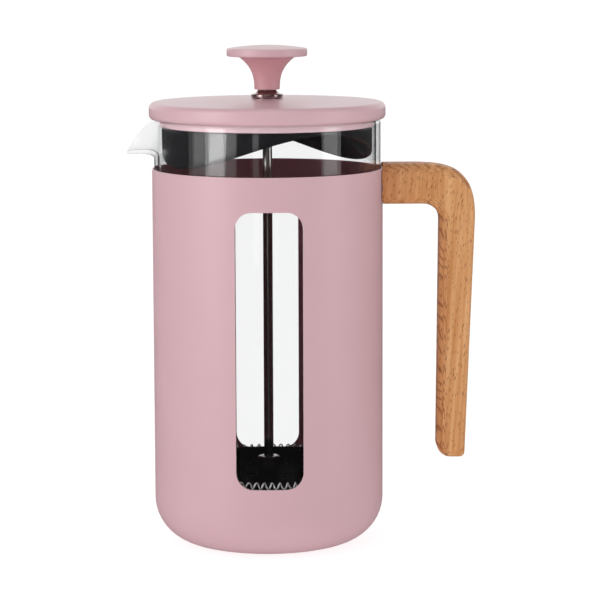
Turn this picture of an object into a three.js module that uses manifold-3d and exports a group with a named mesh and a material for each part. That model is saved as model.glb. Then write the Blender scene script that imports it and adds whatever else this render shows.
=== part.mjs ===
// French press of the one-litre class. A steel sleeve with two windows and a wooden handle holds a
// glass beaker. A lid with a wave-edged skirt guides a plunger whose filter has a coil spring
// round its rim. Millimetres, +Z up. The origin is the middle of the sleeve's flat base. The handle
// is on +X, the spout on -X, and the windows face -Y and +Y. The plunger is pressed down.

import * as THREE from "three";
import { mergeVertices } from "three/addons/utils/BufferGeometryUtils.js";
import Module from "manifold-3d";

const wasm = await Module();
wasm.setup();

// ---- Driving dimensions ----

const TOUCH_GAP = 0.3; // left between pieces that rest on each other
const ROUND = 48; // facets round the large pieces
const SMALL_ROUND = 24; // facets round the rod, the screws and what fits on them
const KNOB_ROUND = 40; // facets round the knob
const HOLE_ROUND = 10; // facets round a hole in the filter
const CORNER_STEPS = 5; // facets in a rounded corner
const EDGE_STEPS = 3; // facets in a small rounded edge
const CURVE_SEGMENTS = 7; // facets in each curve of an extruded outline
const CUT_PAST = 1; // how far a cutter runs past the faces that it cuts

const SLEEVE_RADIUS = 51;
const SLEEVE_WALL = 0.6;
const SLEEVE_HEIGHT = 167;
const SLEEVE_CORNER = 20; // between the wall and the flat base
const WINDOW_WIDTH = 29.4;
const WINDOW_BOTTOM = 32;
const WINDOW_TOP_MARGIN = 14.9; // sleeve left above a window
const WINDOW_CORNER = 7.3;

const PAD_RADIUS = 26;
const PAD_THICKNESS = 2.2;

const BEAKER_CLEARANCE = 0.4; // between the glass and the sleeve
const BEAKER_RISE = 21.5; // glass standing above the sleeve
const GLASS_WALL = 2.4;
const SPOUT_REACH = 12;
const SPOUT_DROP = 15.2; // how far the lip dips at its tip
const SPOUT_THINNING = 0.4; // share of the wall lost towards the tip
const SPOUT_DEPTH = 16.5; // from the rim down to where the beak starts
const SPOUT_CURL_POWER = 1.15; // how late the beak turns outwards
const SPOUT_STEPS = 5; // facets up the beak
const SPOUT_FINENESS = 3; // facets round the beak in the width of one elsewhere
const SPOUT_HALF_ANGLE = THREE.MathUtils.degToRad(18);

const CAP_OVERHANG = 2.2; // past the glass
const CAP_EDGE = 7.5; // height of the cap's edge
const CAP_CROWN = 1.5; // rise of the top towards its middle
const CAP_TOP_ROUND = 2.6;
const CAP_FOOT_ROUND = 2;
const CAP_SHELL = 2;
const STEP_CLEARANCE = 0.4; // between the cap's step and the glass
const STEP_DEPTH = 3.2; // how far the step hangs below the cap

const SKIRT_CLEARANCE = 1.3; // between the skirt and the glass
const SKIRT_WALL = 2.4;
const SKIRT_DEPTH = 9.4; // mean height of the skirt below the step
const SKIRT_WAVE = 7.5; // the edge rises and falls this much from the mean
const SKIRT_LOBE_AZIMUTH = THREE.MathUtils.degToRad(32);
const SKIRT_FLOOR = 2; // thickness of the disc across the skirt
const SKIRT_PLUG = 4.7; // height of the part inside the cap's step
const SKIRT_BOSS_RADIUS = 9;

const ROD_RADIUS = 2.1;
const ROD_CLEARANCE = 0.3;
const BUSH_NECK_RADIUS = 5;
const BUSH_FLANGE_WIDTH = 2; // past the neck
const BUSH_FLANGE_HEIGHT = 1.7;
const BUSH_BEVEL_HEIGHT = 1.6;
const BUSH_BEVEL_INSET = 1.4; // from the flange's edge to the foot of the bevel
const BUSH_NOSE_WALL = 1.6; // left round the rod at the top
const WASHER_WIDTH = 2.2;
const WASHER_THICKNESS = 1;
const NUT_WALL = 1.5;
const NUT_HEIGHT = 3.5;

const KNOB_RADIUS = 17.75;
const KNOB_HEIGHT = 19.5;
const KNOB_STEM_RADIUS = 5.65;
const KNOB_DISC_HEIGHT = 3.9; // the disc's edge
const KNOB_CROWN = 1.4;
const KNOB_FLARE_RADIUS = 12.3; // where the stem meets the disc
const KNOB_FLARE_POWER = 2.8; // how late the stem flares
const KNOB_FLARE_STEPS = 8;
const KNOB_EDGE_ROUND = 1.5;
const KNOB_UNDERSIDE_RISE = 0.4; // of the disc's underside, from the stem to its edge
const INSERT_WALL = 1.1;
const KNOB_INSERT_LENGTH = 9;
const KNOB_INSERT_INSET = 1.2;

const FILTER_LIFT = 25.1; // from the beaker's floor to the spiral plate
const PLATE_THICKNESS = 1;
const PLATE_RIM_HEIGHT = 1.6;
const PLATE_RIM_WALL = 0.8;
const PLATE_HOLE_RADIUS = 2.6;
const PLATE_HOLE_ROWS = [
  { radius: 16, count: 6 },
  { radius: 32, count: 12 },
];
const COIL_RADIUS = 1.75;
const COIL_FACETS = 8;
const SCREEN_THICKNESS = 0.7;
const SCREEN_MARGIN = 1; // between the screen's edge and the glass
const CROSS_MARGIN = 2.1; // between the cross plate's edge and the glass
const CROSS_RING_WIDTH = 4.5;
const CROSS_SPOKES = 6;
const CROSS_SPOKE_WIDTH = 5;
const CROSS_HUB_RADIUS = 7;
const CROSS_HUB_DEPTH = 5;
const CROSS_HUB_CHAMFER = 1;
const HUB_RADIUS = 4.9; // across the corners, halved
const HUB_SIDES = 6;
const HUB_HEIGHT = 5.4;
const HUB_CHAMFER = 1;

const HANDLE_RISE = 2; // above the sleeve
const HANDLE_REACH = 40.7; // from the sleeve's wall to the back of the grip
const HANDLE_LENGTH = 131.5; // from the top of the arm to the free end
const HANDLE_THICKNESS = 20.5;
const ARM_HEIGHT = 17.8;
const GRIP_DEPTH = 15.6; // at the top of the grip
const GRIP_BACK_LEAN = 4.3; // the back comes in by this much at the free end
const GRIP_FRONT_LEAN = 1.1; // and the front by this much
const SHOULDER_WIDTH = 28; // of the round shoulder
const SHOULDER_HEIGHT = 23.6;
const SHOULDER_BACK_SHARE = 0.1; // how near the top the back's tangent point comes
const SHOULDER_TOP_SHARE = 0.36; // how near the back the top's tangent point comes
const ARMPIT_ROUND = 7.4;
const HANDLE_EDGE = 5;
const HANDLE_FOOT_ROUND = 5.6;

const SCREW_RADIUS = 1.7;
const SCREW_HEAD_RADIUS = 3.5;
const SCREW_LENGTH = 14;
const SEAT_CLEARANCE = 0.45; // round a screw's head, measured across its axis
const SEAT_WALL = 1.05; // of the dimple round it, measured the same way
const SEAT_SPACING = 0.2; // between the two dimples
const INSERT_LENGTH = 12;

// ---- Sizes that follow from them ----

const sleeveInside = SLEEVE_RADIUS - SLEEVE_WALL;
const beakerRadius = sleeveInside - BEAKER_CLEARANCE;
const glassInside = beakerRadius - GLASS_WALL;
const padBottom = SLEEVE_WALL + TOUCH_GAP;
const beakerBottom = padBottom + PAD_THICKNESS + TOUCH_GAP;
const beakerFloor = beakerBottom + GLASS_WALL;
const rimHeight = SLEEVE_HEIGHT + BEAKER_RISE;
const beakerCorner = SLEEVE_CORNER - SLEEVE_WALL - BEAKER_CLEARANCE;

const capRadius = beakerRadius + CAP_OVERHANG;
const capFoot = rimHeight + TOUCH_GAP;
const capEdgeTop = capFoot + CAP_EDGE;
const capTop = capEdgeTop + CAP_CROWN;
const stepRadius = glassInside - STEP_CLEARANCE;
const stepInside = stepRadius - CAP_SHELL;
const stepFoot = capFoot - STEP_DEPTH;
const capCeiling = capEdgeTop - CAP_SHELL;
const neckHole = BUSH_NECK_RADIUS + TOUCH_GAP;

const skirtRadius = glassInside - SKIRT_CLEARANCE;
const skirtInside = skirtRadius - SKIRT_WALL;
const skirtTop = stepFoot - TOUCH_GAP;
const skirtDiscTop = skirtTop + SKIRT_PLUG;
const skirtDiscBottom = skirtDiscTop - SKIRT_FLOOR;
const washerTop = skirtDiscBottom - TOUCH_GAP;
const nutTop = washerTop - WASHER_THICKNESS - TOUCH_GAP;
const nutBottom = nutTop - NUT_HEIGHT;

const rodHole = ROD_RADIUS + ROD_CLEARANCE;
const flangeRadius = BUSH_NECK_RADIUS + BUSH_FLANGE_WIDTH;
const bushFoot = capTop + TOUCH_GAP;
const bushTop = bushFoot + BUSH_FLANGE_HEIGHT + BUSH_BEVEL_HEIGHT;
const knobBottom = bushTop + TOUCH_GAP;
const knobTop = knobBottom + KNOB_HEIGHT;
const knobInsertBottom = knobBottom + KNOB_INSERT_INSET;
const knobInsertTop = knobInsertBottom + KNOB_INSERT_LENGTH;
const knobInsertRadius = rodHole + INSERT_WALL;

const plateBottom = beakerFloor + FILTER_LIFT;
const plateTop = plateBottom + PLATE_THICKNESS;
const screenTop = plateBottom - TOUCH_GAP;
const screenBottom = screenTop - SCREEN_THICKNESS;
const crossTop = screenBottom - TOUCH_GAP;
const crossBottom = crossTop - PLATE_THICKNESS;
const crossHubBottom = crossTop - CROSS_HUB_DEPTH;
const coilCentreRadius = glassInside - TOUCH_GAP - COIL_RADIUS;
const coilCentreHeight = screenTop + TOUCH_GAP + COIL_RADIUS;
const plateRadius = coilCentreRadius - COIL_RADIUS - TOUCH_GAP;
const filterHubBottom = plateTop + TOUCH_GAP;

const handleTop = SLEEVE_HEIGHT + HANDLE_RISE;
const armBottom = handleTop - ARM_HEIGHT;
const screwHeight = (armBottom + SLEEVE_HEIGHT) / 2; // middle of where the arm meets the sleeve
const screwOffset = SCREW_HEAD_RADIUS + SEAT_CLEARANCE + SEAT_WALL + SEAT_SPACING / 2;
const screwHeadFace = beakerRadius + TOUCH_GAP;
const screwHeadDepth = SCREW_HEAD_RADIUS - SCREW_RADIUS; // a right-angled cone
const handleInsertStart = screwHeadFace + screwHeadDepth + SLEEVE_WALL + TOUCH_GAP;
const handleInsertInside = SCREW_RADIUS + TOUCH_GAP;
const handleInsertRadius = handleInsertInside + INSERT_WALL;

// ---- Finishes ----

const finish = (color, roughness, metalness, extra = {}) =>
  new THREE.MeshStandardMaterial({ color, roughness, metalness, ...extra });

const pinkPaint = finish("#cda6ad", 0.45, 0.1);
const glass = finish("#eef3f2", 0.05, 0, { transparent: true, opacity: 0.3 });
const blackPlastic = finish("#1c1c1f", 0.35, 0);
const steel = finish("#b9b9bb", 0.25, 1);
const darkSteel = finish("#4a4648", 0.3, 1);
const beech = finish("#c48a58", 0.6, 0);
const brass = finish("#b5984f", 0.4, 1);
const silicone = finish("#8d8d8d", 0.8, 0);

// ---- Shape helpers ----

const point = (x, y) => new THREE.Vector2(x, y);

// Points of an arc in the radius-height plane, both ends included.
function arc(centreX, centreY, radius, from, to, steps = CORNER_STEPS) {
  return Array.from({ length: steps + 1 }, (_, i) => {
    const angle = THREE.MathUtils.degToRad(from + ((to - from) * i) / steps);
    return point(centreX + radius * Math.cos(angle), centreY + radius * Math.sin(angle));
  });
}

// The point halfway out on a crowned top, a parabola that has fallen by a quarter of its rise there.
const crownMiddle = (radius, top, rise) => point(radius / 2, top - rise / 4);

// Sweeps a profile round Z. profileAt(azimuth) gives it anticlockwise as radius and height, always
// with the same number of points. It closes on itself, or starts and ends on the axis.
function sweep(profileAt, azimuths) {
  const positions = [];
  const index = [];
  azimuths.forEach((azimuth) => {
    profileAt(azimuth).forEach(({ x, y }) => {
      positions.push(x * Math.cos(azimuth), x * Math.sin(azimuth), y);
    });
  });
  const rows = positions.length / 3 / azimuths.length;
  const bands = profileAt(azimuths[0])[0].x > 0 ? rows : rows - 1;
  azimuths.forEach((_, column) => {
    const here = column * rows;
    const next = ((column + 1) % azimuths.length) * rows;
    for (let row = 0; row < bands; row++) {
      const above = (row + 1) % rows;
      index.push(here + row, next + row, next + above);
      index.push(here + row, next + above, here + above);
    }
  });
  const geometry = new THREE.BufferGeometry();
  geometry.setAttribute("position", new THREE.Float32BufferAttribute(positions, 3));
  geometry.setIndex(index);
  geometry.computeVertexNormals();
  return geometry;
}

const evenAzimuths = (count) => Array.from({ length: count }, (_, i) => (2 * Math.PI * i) / count);

// A round piece from one profile, the same at every azimuth.
const turned = (profile, count = ROUND) => sweep(() => profile, evenAzimuths(count));

// A plain tube, or a ring or washer where it is short.
const tube = (inside, outside, bottom, top, count = SMALL_ROUND) =>
  turned([point(inside, bottom), point(outside, bottom), point(outside, top), point(inside, top)], count);

// A solid round plug between two heights.
const plug = (radius, bottom, top, count = SMALL_ROUND) =>
  turned([point(0, bottom), point(radius, bottom), point(radius, top), point(0, top)], count);

function toSolid(geometry) {
  const bare = geometry.index ? geometry.toNonIndexed() : geometry.clone();
  bare.deleteAttribute("normal");
  bare.deleteAttribute("uv");
  const merged = mergeVertices(bare, 1e-4);
  return new wasm.Manifold(
    new wasm.Mesh({
      numProp: 3,
      vertProperties: merged.attributes.position.array,
      triVerts: new Uint32Array(merged.index.array),
    }),
  );
}

function toGeometry(solid) {
  const mesh = solid.getMesh();
  const geometry = new THREE.BufferGeometry();
  geometry.setAttribute("position", new THREE.BufferAttribute(mesh.vertProperties, 3));
  geometry.setIndex(new THREE.BufferAttribute(mesh.triVerts, 1));
  geometry.computeVertexNormals();
  return geometry;
}

// A round solid on an axis along +X, from [distance along the axis, radius] pairs.
function alongX(steps, y, z) {
  const profile = [point(0, steps[0][0]), ...steps.map(([x, r]) => point(r, x))];
  profile.push(point(0, steps.at(-1)[0]));
  const geometry = turned(profile, SMALL_ROUND);
  geometry.rotateY(Math.PI / 2);
  geometry.translate(0, y, z);
  return geometry;
}

const rodAlongX = (from, to, radius, y) =>
  toSolid(alongX([[from, radius], [to, radius]], y, screwHeight));

// ---- Sleeve, pad and beaker ----

function windowCutter(side) {
  const half = WINDOW_WIDTH / 2;
  const low = WINDOW_BOTTOM;
  const high = SLEEVE_HEIGHT - WINDOW_TOP_MARGIN;
  const outline = new THREE.Shape();
  outline.absarc(half - WINDOW_CORNER, low + WINDOW_CORNER, WINDOW_CORNER, -Math.PI / 2, 0);
  outline.absarc(half - WINDOW_CORNER, high - WINDOW_CORNER, WINDOW_CORNER, 0, Math.PI / 2);
  outline.absarc(WINDOW_CORNER - half, high - WINDOW_CORNER, WINDOW_CORNER, Math.PI / 2, Math.PI);
  outline.absarc(WINDOW_CORNER - half, low + WINDOW_CORNER, WINDOW_CORNER, Math.PI, Math.PI * 1.5);
  const depth = SLEEVE_RADIUS + CUT_PAST;
  const settings = { depth, bevelEnabled: false, curveSegments: CURVE_SEGMENTS };
  const geometry = new THREE.ExtrudeGeometry(outline, settings);
  geometry.rotateX(Math.PI / 2); // the outline stands up and the depth runs along -Y
  if (side > 0) geometry.rotateZ(Math.PI);
  return toSolid(geometry);
}

// The cone that a screw's head sits in, widened by margin.
function seatCone(y, margin, floorDepth) {
  const lead = SLEEVE_RADIUS - screwHeadFace + CUT_PAST;
  const floor = screwHeadFace + floorDepth;
  const headRadius = SCREW_HEAD_RADIUS + margin;
  const steps = [
    [screwHeadFace - lead, headRadius + lead],
    [floor, headRadius - floorDepth],
  ];
  return toSolid(alongX(steps, y, screwHeight));
}

const screwPlaces = [
  { name: "front", y: -screwOffset },
  { name: "rear", y: screwOffset },
];

function makeSleeve() {
  const foot = SLEEVE_RADIUS - SLEEVE_CORNER;
  const profile = [
    point(0, 0),
    ...arc(foot, SLEEVE_CORNER, SLEEVE_CORNER, -90, 0),
    point(SLEEVE_RADIUS, SLEEVE_HEIGHT),
    point(sleeveInside, SLEEVE_HEIGHT),
    ...arc(foot, SLEEVE_CORNER, SLEEVE_CORNER - SLEEVE_WALL, 0, -90),
    point(0, SLEEVE_WALL),
  ];
  const cavity = toSolid(plug(sleeveInside, SLEEVE_CORNER, handleTop + ARM_HEIGHT, ROUND));
  let can = toSolid(turned(profile)).subtract(windowCutter(-1)).subtract(windowCutter(1));
  for (const { y } of screwPlaces) {
    const dimple = seatCone(y, SEAT_CLEARANCE + SEAT_WALL, screwHeadDepth + SLEEVE_WALL);
    can = can.add(dimple.subtract(cavity));
  }
  for (const { y } of screwPlaces) {
    const hole = rodAlongX(screwHeadFace, SLEEVE_RADIUS * 2, handleInsertInside, y);
    can = can.subtract(seatCone(y, SEAT_CLEARANCE, screwHeadDepth)).subtract(hole);
  }
  return toGeometry(can);
}

// The glass wall from where the beak starts up to the lip, as radius and height. share runs from
// 0 to 1 up the wall and beak is 1 in the middle of the beak and 0 away from it.
function lipPoint(share, beak) {
  const curl = Math.pow(share, SPOUT_CURL_POWER);
  const radius = beakerRadius + SPOUT_REACH * beak * curl;
  const droop = SPOUT_DROP * beak * beak * curl;
  return point(radius, rimHeight - SPOUT_DEPTH + SPOUT_DEPTH * share - droop);
}

function beakerProfile(azimuth) {
  const offset = Math.abs(azimuth - Math.PI) / SPOUT_HALF_ANGLE;
  const beak = offset < 1 ? Math.cos((offset * Math.PI) / 2) ** 2 : 0;
  const halfStep = 0.5 / SPOUT_STEPS; // either side of a point, for the direction there
  const outside = [];
  const inside = [];
  for (let i = 0; i <= SPOUT_STEPS; i++) {
    const share = i / SPOUT_STEPS;
    const here = lipPoint(share, beak);
    const before = lipPoint(Math.max(share - halfStep, 0), beak);
    const along = lipPoint(Math.min(share + halfStep, 1), beak).sub(before).normalize();
    const wall = GLASS_WALL * (1 - SPOUT_THINNING * beak * share);
    outside.push(here);
    inside.unshift(point(here.x - wall * along.y, here.y + wall * along.x));
  }
  const foot = beakerRadius - beakerCorner;
  const corner = beakerBottom + beakerCorner;
  return [
    point(0, beakerBottom),
    ...arc(foot, corner, beakerCorner, -90, 0),
    ...outside,
    ...inside,
    ...arc(foot, corner, beakerCorner - GLASS_WALL, 0, -90),
    point(0, beakerFloor),
  ];
}

function makeBeaker() {
  const step = (2 * Math.PI) / ROUND;
  const azimuths = evenAzimuths(ROUND * SPOUT_FINENESS).filter((azimuth, i) => {
    const nearSpout = Math.abs(azimuth - Math.PI) < SPOUT_HALF_ANGLE + step;
    return nearSpout || i % SPOUT_FINENESS === 0;
  });
  return sweep(beakerProfile, azimuths);
}

// ---- Handle and its fasteners ----

function handleOutline() {
  const back = SLEEVE_RADIUS + HANDLE_REACH;
  const front = back - GRIP_DEPTH;
  const foot = handleTop - HANDLE_LENGTH;
  const footBack = back - GRIP_BACK_LEAN;
  const footFront = front - GRIP_FRONT_LEAN;
  const round = HANDLE_FOOT_ROUND;
  const start = SLEEVE_RADIUS / 2; // inside the sleeve, cut away afterwards
  const outline = new THREE.Shape();
  outline.moveTo(start, armBottom);
  outline.lineTo(front - ARMPIT_ROUND, armBottom);
  outline.absarc(front - ARMPIT_ROUND, armBottom - ARMPIT_ROUND, ARMPIT_ROUND, Math.PI / 2, 0, true);
  outline.absarc(footFront + round, foot + round, round, Math.PI, 1.5 * Math.PI);
  outline.absarc(footBack - round, foot + round, round, 1.5 * Math.PI, 2 * Math.PI);
  outline.lineTo(back, handleTop - SHOULDER_HEIGHT);
  outline.bezierCurveTo(
    back, handleTop - SHOULDER_HEIGHT * SHOULDER_BACK_SHARE,
    back - SHOULDER_WIDTH * SHOULDER_TOP_SHARE, handleTop,
    back - SHOULDER_WIDTH, handleTop,
  );
  outline.lineTo(start, handleTop);
  return outline;
}

function makeHandle() {
  const geometry = new THREE.ExtrudeGeometry(handleOutline(), {
    depth: HANDLE_THICKNESS - 2 * HANDLE_EDGE,
    bevelThickness: HANDLE_EDGE,
    bevelSize: HANDLE_EDGE,
    bevelOffset: -HANDLE_EDGE,
    bevelSegments: EDGE_STEPS,
    curveSegments: CURVE_SEGMENTS,
  });
  geometry.translate(0, 0, HANDLE_EDGE - HANDLE_THICKNESS / 2);
  geometry.rotateX(Math.PI / 2);
  const can = plug(SLEEVE_RADIUS + TOUCH_GAP, armBottom - ARM_HEIGHT, handleTop + ARM_HEIGHT, ROUND);
  let wood = toSolid(geometry).subtract(toSolid(can));
  for (const { y } of screwPlaces) {
    const boreEnd = handleInsertStart + INSERT_LENGTH + TOUCH_GAP;
    const bore = rodAlongX(SLEEVE_RADIUS / 2, boreEnd, handleInsertRadius + TOUCH_GAP, y);
    const margin = 2 * SEAT_CLEARANCE + SEAT_WALL;
    wood = wood.subtract(bore).subtract(seatCone(y, margin, screwHeadDepth + SLEEVE_WALL));
  }
  return toGeometry(wood);
}

const makeScrew = (y) =>
  alongX([
    [screwHeadFace, SCREW_HEAD_RADIUS],
    [screwHeadFace + screwHeadDepth, SCREW_RADIUS],
    [screwHeadFace + SCREW_LENGTH, SCREW_RADIUS],
  ], y, screwHeight);

function makeHandleInsert(y) {
  const geometry = tube(handleInsertInside, handleInsertRadius, 0, INSERT_LENGTH);
  geometry.rotateY(Math.PI / 2);
  geometry.translate(handleInsertStart, y, screwHeight);
  return geometry;
}

// ---- Lid ----

const makeCap = () =>
  turned([
    point(neckHole, capCeiling),
    point(stepInside - CAP_SHELL / 2, capCeiling),
    point(stepInside, capCeiling - CAP_SHELL / 2),
    point(stepInside, stepFoot),
    point(stepRadius, stepFoot),
    point(stepRadius, capFoot),
    ...arc(capRadius - CAP_FOOT_ROUND, capFoot + CAP_FOOT_ROUND, CAP_FOOT_ROUND, -90, 0, EDGE_STEPS),
    ...arc(capRadius - CAP_TOP_ROUND, capEdgeTop - CAP_TOP_ROUND, CAP_TOP_ROUND, 0, 90),
    crownMiddle(capRadius, capTop, CAP_CROWN),
    point(neckHole, capTop),
  ]);

function skirtProfile(azimuth) {
  const wave = SKIRT_WAVE * Math.cos(2 * (azimuth - SKIRT_LOBE_AZIMUTH));
  const edge = stepFoot - SKIRT_DEPTH - wave;
  return [
    point(skirtInside, edge),
    point(skirtRadius, edge),
    point(skirtRadius, skirtTop),
    point(stepInside - TOUCH_GAP, skirtTop),
    point(stepInside - TOUCH_GAP, skirtDiscTop),
    point(SKIRT_BOSS_RADIUS, skirtDiscTop),
    point(SKIRT_BOSS_RADIUS, capCeiling - TOUCH_GAP),
    point(neckHole, capCeiling - TOUCH_GAP),
    point(neckHole, skirtDiscBottom),
    point(skirtInside, skirtDiscBottom),
  ];
}

const makeBush = () =>
  turned([
    point(rodHole, nutBottom),
    point(BUSH_NECK_RADIUS, nutBottom),
    point(BUSH_NECK_RADIUS, bushFoot),
    point(flangeRadius, bushFoot),
    point(flangeRadius, bushFoot + BUSH_FLANGE_HEIGHT),
    point(flangeRadius - BUSH_BEVEL_INSET, bushFoot + BUSH_FLANGE_HEIGHT),
    point(rodHole + BUSH_NOSE_WALL, bushTop),
    point(rodHole, bushTop),
  ], SMALL_ROUND);

// ---- Plunger ----

function makeKnob() {
  const flareTop = knobTop - KNOB_CROWN - KNOB_DISC_HEIGHT;
  const flareHeight = flareTop - knobBottom;
  const flare = Array.from({ length: KNOB_FLARE_STEPS + 1 }, (_, i) => {
    const share = i / KNOB_FLARE_STEPS;
    const spread = (KNOB_FLARE_RADIUS - KNOB_STEM_RADIUS) * Math.pow(share, KNOB_FLARE_POWER);
    return point(KNOB_STEM_RADIUS + spread, knobBottom + flareHeight * share);
  });
  const undersideEdge = flareTop + KNOB_UNDERSIDE_RISE;
  const edge = KNOB_RADIUS - KNOB_EDGE_ROUND;
  const discTop = knobTop - KNOB_CROWN;
  const boreRadius = knobInsertRadius + TOUCH_GAP;
  const boreTop = knobInsertTop + TOUCH_GAP;
  return turned([
    point(0, boreTop),
    point(boreRadius, boreTop),
    point(boreRadius, knobBottom),
    ...flare,
    ...arc(edge, undersideEdge + KNOB_EDGE_ROUND, KNOB_EDGE_ROUND, -90, 0, EDGE_STEPS),
    ...arc(edge, discTop - KNOB_EDGE_ROUND, KNOB_EDGE_ROUND, 0, 90, EDGE_STEPS),
    crownMiddle(KNOB_RADIUS, knobTop, KNOB_CROWN),
    point(0, knobTop),
  ], KNOB_ROUND);
}

// A ring of round holes through the spiral plate.
function drill(solid, { radius, count }) {
  const hole = plug(PLATE_HOLE_RADIUS, plateBottom - CUT_PAST, plateTop + CUT_PAST, HOLE_ROUND);
  for (const azimuth of evenAzimuths(count)) {
    const placed = hole.clone().translate(radius * Math.cos(azimuth), radius * Math.sin(azimuth), 0);
    solid = solid.subtract(toSolid(placed));
  }
  return solid;
}

function makeSpiralPlate() {
  const rimTop = plateTop + PLATE_RIM_HEIGHT;
  let plate = toSolid(turned([
    point(rodHole, plateBottom),
    point(plateRadius, plateBottom),
    point(plateRadius, rimTop),
    point(plateRadius - PLATE_RIM_WALL, rimTop),
    point(plateRadius - PLATE_RIM_WALL, plateTop),
    point(rodHole, plateTop),
  ]));
  for (const row of PLATE_HOLE_ROWS) {
    plate = drill(plate, row);
  }
  return toGeometry(plate);
}

function makeEdgeSpring() {
  const lastFacet = 360 - 360 / COIL_FACETS;
  const section = arc(coilCentreRadius, coilCentreHeight, COIL_RADIUS, 0, lastFacet, COIL_FACETS - 1);
  return turned(section);
}

function makeCrossPlate() {
  const outside = glassInside - CROSS_MARGIN;
  const inside = outside - CROSS_RING_WIDTH;
  const spokeLength = inside + CROSS_RING_WIDTH / 2;
  let plate = toSolid(tube(inside, outside, crossBottom, crossTop, ROUND));
  for (const azimuth of evenAzimuths(CROSS_SPOKES)) {
    const spoke = new THREE.BoxGeometry(spokeLength, CROSS_SPOKE_WIDTH, PLATE_THICKNESS);
    spoke.translate(spokeLength / 2, 0, (crossBottom + crossTop) / 2);
    spoke.rotateZ(azimuth);
    plate = plate.add(toSolid(spoke));
  }
  const hub = turned([
    point(0, crossHubBottom),
    point(CROSS_HUB_RADIUS - CROSS_HUB_CHAMFER, crossHubBottom),
    point(CROSS_HUB_RADIUS, crossHubBottom + CROSS_HUB_CHAMFER),
    point(CROSS_HUB_RADIUS, crossTop),
    point(0, crossTop),
  ], SMALL_ROUND);
  const bore = plug(rodHole, crossHubBottom - CUT_PAST, crossTop + CUT_PAST);
  return toGeometry(plate.add(toSolid(hub)).subtract(toSolid(bore)));
}

// A hexagonal nut with a chamfered top, which the rod screws through.
function makeFilterHub() {
  const top = filterHubBottom + HUB_HEIGHT;
  const blank = turned([
    point(0, filterHubBottom),
    point(HUB_RADIUS, filterHubBottom),
    point(HUB_RADIUS, top - HUB_CHAMFER),
    point(HUB_RADIUS - HUB_CHAMFER, top),
    point(0, top),
  ], HUB_SIDES);
  const bore = plug(rodHole, filterHubBottom - CUT_PAST, top + CUT_PAST);
  return toGeometry(toSolid(blank).subtract(toSolid(bore)));
}

// ---- Assembly ----

const frenchPress = new THREE.Group();

function place(name, geometry, material, group) {
  const mesh = new THREE.Mesh(geometry, material);
  mesh.name = name;
  group.add(mesh);
}

const holder = new THREE.Group();
place("sleeve", makeSleeve(), pinkPaint, holder);
place("base_pad", plug(PAD_RADIUS, padBottom, padBottom + PAD_THICKNESS), silicone, holder);
place("handle", makeHandle(), beech, holder);
for (const { name, y } of screwPlaces) {
  place("handle_screw_" + name, makeScrew(y), steel, holder);
  place("handle_insert_" + name, makeHandleInsert(y), brass, holder);
}

const beaker = new THREE.Group();
place("glass_beaker", makeBeaker(), glass, beaker);

const lid = new THREE.Group();
place("lid_cap", makeCap(), pinkPaint, lid);
place("lid_skirt", sweep(skirtProfile, evenAzimuths(ROUND)), blackPlastic, lid);
place("lid_bush", makeBush(), darkSteel, lid);
const washerRadius = neckHole + WASHER_WIDTH;
place("lid_washer", tube(neckHole, washerRadius, washerTop - WASHER_THICKNESS, washerTop), steel, lid);
place("lid_nut", tube(neckHole, neckHole + NUT_WALL, nutBottom, nutTop), steel, lid);

const plunger = new THREE.Group();
place("knob", makeKnob(), pinkPaint, plunger);
place("knob_insert", tube(rodHole, knobInsertRadius, knobInsertBottom, knobInsertTop), brass, plunger);
place("plunger_rod", plug(ROD_RADIUS, crossHubBottom + TOUCH_GAP, knobInsertTop), steel, plunger);
place("filter_hub", makeFilterHub(), darkSteel, plunger);
place("spiral_plate", makeSpiralPlate(), steel, plunger);
place("edge_spring", makeEdgeSpring(), steel, plunger);
const screenRadius = glassInside - SCREEN_MARGIN;
place("filter_screen", tube(rodHole, screenRadius, screenBottom, screenTop, ROUND), steel, plunger);
place("cross_plate", makeCrossPlate(), steel, plunger);

frenchPress.add(holder, beaker, lid, plunger);

export default frenchPress;
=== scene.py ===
"""The looks of a french press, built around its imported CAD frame.

Metres, +Z up. The handle is on +X, the spout on -X and the windows face -Y and +Y. Each visible
piece is a fine mesh that stands for its CAD node and rides on that node's body.
"""

import math

import bmesh
import bpy
from mathutils import Matrix, Vector


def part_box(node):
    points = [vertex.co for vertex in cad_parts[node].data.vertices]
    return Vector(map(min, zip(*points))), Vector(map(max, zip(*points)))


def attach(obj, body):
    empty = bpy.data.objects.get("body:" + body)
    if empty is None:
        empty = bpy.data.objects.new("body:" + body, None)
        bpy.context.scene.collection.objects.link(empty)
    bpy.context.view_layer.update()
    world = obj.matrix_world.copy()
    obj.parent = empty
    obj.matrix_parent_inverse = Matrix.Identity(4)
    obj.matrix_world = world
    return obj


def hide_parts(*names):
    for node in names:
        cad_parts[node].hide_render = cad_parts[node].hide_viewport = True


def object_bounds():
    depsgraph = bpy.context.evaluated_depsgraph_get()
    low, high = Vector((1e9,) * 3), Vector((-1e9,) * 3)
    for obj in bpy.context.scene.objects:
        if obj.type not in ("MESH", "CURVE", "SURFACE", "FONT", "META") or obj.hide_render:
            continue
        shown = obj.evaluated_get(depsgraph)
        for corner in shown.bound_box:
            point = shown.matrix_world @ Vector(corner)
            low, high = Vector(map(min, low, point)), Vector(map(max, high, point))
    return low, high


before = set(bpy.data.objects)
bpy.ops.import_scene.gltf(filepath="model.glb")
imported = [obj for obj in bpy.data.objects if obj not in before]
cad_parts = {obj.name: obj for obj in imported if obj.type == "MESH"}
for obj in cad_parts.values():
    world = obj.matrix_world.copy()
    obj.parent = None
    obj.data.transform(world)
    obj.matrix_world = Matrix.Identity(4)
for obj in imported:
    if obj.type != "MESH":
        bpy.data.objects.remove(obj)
cad_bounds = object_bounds()

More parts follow.
